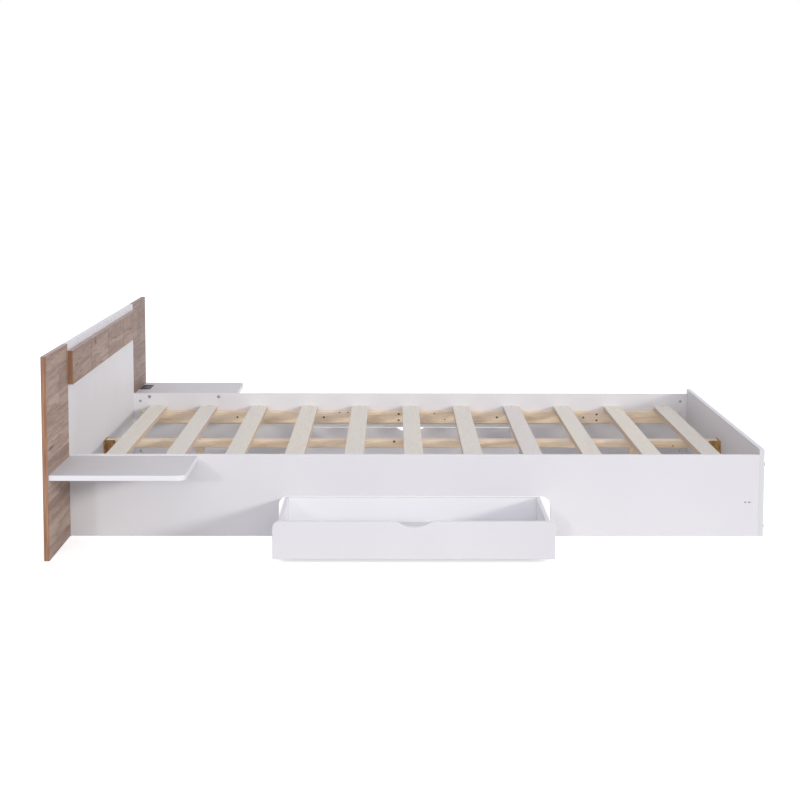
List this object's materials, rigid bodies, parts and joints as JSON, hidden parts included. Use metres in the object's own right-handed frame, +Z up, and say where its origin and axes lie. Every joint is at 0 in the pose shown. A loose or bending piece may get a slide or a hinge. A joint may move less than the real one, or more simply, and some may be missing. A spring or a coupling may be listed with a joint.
{
  "type": "platform bed",
  "caption": "Low slatted platform bed with a winged panel headboard, bedside shelves and rolling under-bed drawers.",
  "frame": {"origin": "on the floor, at the middle of the outline that the bed has with its drawers shut", "axes": "+X from the headboard to the foot, +Y from the near side to the far side, +Z up"},
  "size_m": [2.0924, 2.356, 0.574],
  "materials": {
    "white_laminate": "satin white melamine on board",
    "oak_laminate": "matt oak-look laminate on board",
    "pine": "planed pine, unfinished",
    "slat_wood": "planed slat, unfinished",
    "white_hardboard": "white faced hardboard",
    "zinc_steel": "zinc plated",
    "yellow_zinc_steel": "yellow zinc plated",
    "black_steel": "black powder coat",
    "wheel_plastic": "moulded",
    "black_plastic": "fine texture",
    "dark_grey_plastic": "satin"
  },
  "bodies": {
    "bed_frame": {"headboard_panel": "white_laminate", "rail_near": "white_laminate", "rail_far": "white_laminate", "footboard": "white_laminate", "shelf_near": "white_laminate", "shelf_far": "white_laminate", "headboard_wing_near": "oak_laminate", "headboard_wing_far": "oak_laminate", "headboard_trim": "oak_laminate", "headboard_batten_lower": "pine", "headboard_batten_upper": "pine", "ledger_near": "pine", "ledger_far": "pine", "centre_beam": "pine", "centre_leg_head": "pine", "centre_leg_middle": "pine", "centre_leg_foot": "pine", "slat_01": "slat_wood", "slat_02": "slat_wood", "slat_03": "slat_wood", "slat_04": "slat_wood", "slat_05": "slat_wood", "slat_06": "slat_wood", "slat_07": "slat_wood", "slat_08": "slat_wood", "slat_09": "slat_wood", "slat_10": "slat_wood", "slat_11": "slat_wood", "beam_hanger_head": "yellow_zinc_steel", "beam_hanger_foot": "yellow_zinc_steel", "wood_screws": "yellow_zinc_steel", "corner_bolts": "zinc_steel", "barrel_nuts": "zinc_steel", "shelf_bolts": "zinc_steel", "hanger_screws": "zinc_steel", "power_unit_housing": "black_plastic", "power_unit_outlets": "dark_grey_plastic", "power_unit_charger": "dark_grey_plastic"},
    "near_drawer": {"near_drawer_front": "white_laminate", "near_drawer_side_left": "white_laminate", "near_drawer_side_right": "white_laminate", "near_drawer_back": "white_laminate", "near_drawer_floor": "white_hardboard", "near_drawer_casters": "black_steel", "near_drawer_screws": "yellow_zinc_steel"},
    "near_drawer_wheel_front_left": {"near_drawer_wheel_front_left": "wheel_plastic"},
    "near_drawer_wheel_front_right": {"near_drawer_wheel_front_right": "wheel_plastic"},
    "near_drawer_wheel_back_left": {"near_drawer_wheel_back_left": "wheel_plastic"},
    "near_drawer_wheel_back_right": {"near_drawer_wheel_back_right": "wheel_plastic"},
    "far_drawer": {"far_drawer_front": "white_laminate", "far_drawer_side_left": "white_laminate", "far_drawer_side_right": "white_laminate", "far_drawer_back": "white_laminate", "far_drawer_floor": "white_hardboard", "far_drawer_casters": "black_steel", "far_drawer_screws": "yellow_zinc_steel"},
    "far_drawer_wheel_front_left": {"far_drawer_wheel_front_left": "wheel_plastic"},
    "far_drawer_wheel_front_right": {"far_drawer_wheel_front_right": "wheel_plastic"},
    "far_drawer_wheel_back_left": {"far_drawer_wheel_back_left": "wheel_plastic"},
    "far_drawer_wheel_back_right": {"far_drawer_wheel_back_right": "wheel_plastic"}
  },
  "joints": [
    {"name": "near_drawer_slide", "type": "slide", "parent": "bed_frame", "child": "near_drawer", "axis": [0, -1, 0], "range_m": [-0.408, 0]},
    {"name": "near_drawer_wheel_front_left_spin", "type": "hinge", "parent": "near_drawer", "child": "near_drawer_wheel_front_left", "pos_m": [-0.30475, -1.115, 0.014], "axis": [1, 0, 0], "continuous": true},
    {"name": "near_drawer_wheel_front_right_spin", "type": "hinge", "parent": "near_drawer", "child": "near_drawer_wheel_front_right", "pos_m": [0.30525, -1.115, 0.014], "axis": [1, 0, 0], "continuous": true},
    {"name": "near_drawer_wheel_back_left_spin", "type": "hinge", "parent": "near_drawer", "child": "near_drawer_wheel_back_left", "pos_m": [-0.30475, -0.843, 0.014], "axis": [1, 0, 0], "continuous": true},
    {"name": "near_drawer_wheel_back_right_spin", "type": "hinge", "parent": "near_drawer", "child": "near_drawer_wheel_back_right", "pos_m": [0.30525, -0.843, 0.014], "axis": [1, 0, 0], "continuous": true},
    {"name": "far_drawer_slide", "type": "slide", "parent": "bed_frame", "child": "far_drawer", "axis": [0, 1, 0], "range_m": [0, 0.408]},
    {"name": "far_drawer_wheel_front_left_spin", "type": "hinge", "parent": "far_drawer", "child": "far_drawer_wheel_front_left", "pos_m": [0.31125, 0.707, 0.014], "axis": [1, 0, 0], "continuous": true},
    {"name": "far_drawer_wheel_front_right_spin", "type": "hinge", "parent": "far_drawer", "child": "far_drawer_wheel_front_right", "pos_m": [-0.29875, 0.707, 0.014], "axis": [1, 0, 0], "continuous": true},
    {"name": "far_drawer_wheel_back_left_spin", "type": "hinge", "parent": "far_drawer", "child": "far_drawer_wheel_back_left", "pos_m": [0.31125, 0.435, 0.014], "axis": [1, 0, 0], "continuous": true},
    {"name": "far_drawer_wheel_back_right_spin", "type": "hinge", "parent": "far_drawer", "child": "far_drawer_wheel_back_right", "pos_m": [-0.29875, 0.435, 0.014], "axis": [1, 0, 0], "continuous": true}
  ],
  "couplings": [
    {"joint": "near_drawer_wheel_front_left_spin", "follows": "near_drawer_slide", "rad_per_m": 71.429},
    {"joint": "near_drawer_wheel_front_right_spin", "follows": "near_drawer_slide", "rad_per_m": 71.429},
    {"joint": "near_drawer_wheel_back_left_spin", "follows": "near_drawer_slide", "rad_per_m": 71.429},
    {"joint": "near_drawer_wheel_back_right_spin", "follows": "near_drawer_slide", "rad_per_m": 71.429},
    {"joint": "far_drawer_wheel_front_left_spin", "follows": "far_drawer_slide", "rad_per_m": -71.429},
    {"joint": "far_drawer_wheel_front_right_spin", "follows": "far_drawer_slide", "rad_per_m": -71.429},
    {"joint": "far_drawer_wheel_back_left_spin", "follows": "far_drawer_slide", "rad_per_m": -71.429},
    {"joint": "far_drawer_wheel_back_right_spin", "follows": "far_drawer_slide", "rad_per_m": -71.429}
  ]
}
